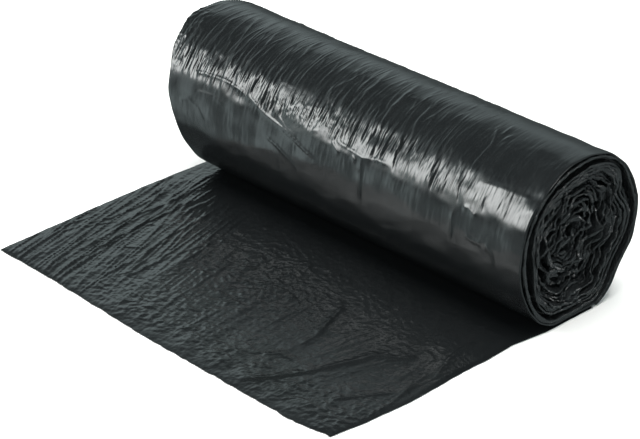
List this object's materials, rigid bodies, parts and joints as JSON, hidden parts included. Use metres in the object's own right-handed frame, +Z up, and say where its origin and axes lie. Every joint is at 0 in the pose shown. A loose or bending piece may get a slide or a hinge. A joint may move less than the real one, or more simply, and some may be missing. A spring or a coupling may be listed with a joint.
{
  "type": "bin bag roll",
  "caption": "Coreless roll of black bin bags lying on its side, with the first bag pulled out flat in front of it.",
  "frame": {"origin": "on the floor, in the middle of the whole object's footprint", "axes": "+X along the roll's axis, -Y the way the first bag is pulled out, +Z up"},
  "size_m": [0.244, 0.1908, 0.0785],
  "materials": {
    "film": "glossy, finely creased"
  },
  "bodies": {
    "root": {"bag_roll": "film"}
  },
  "joints": []
}
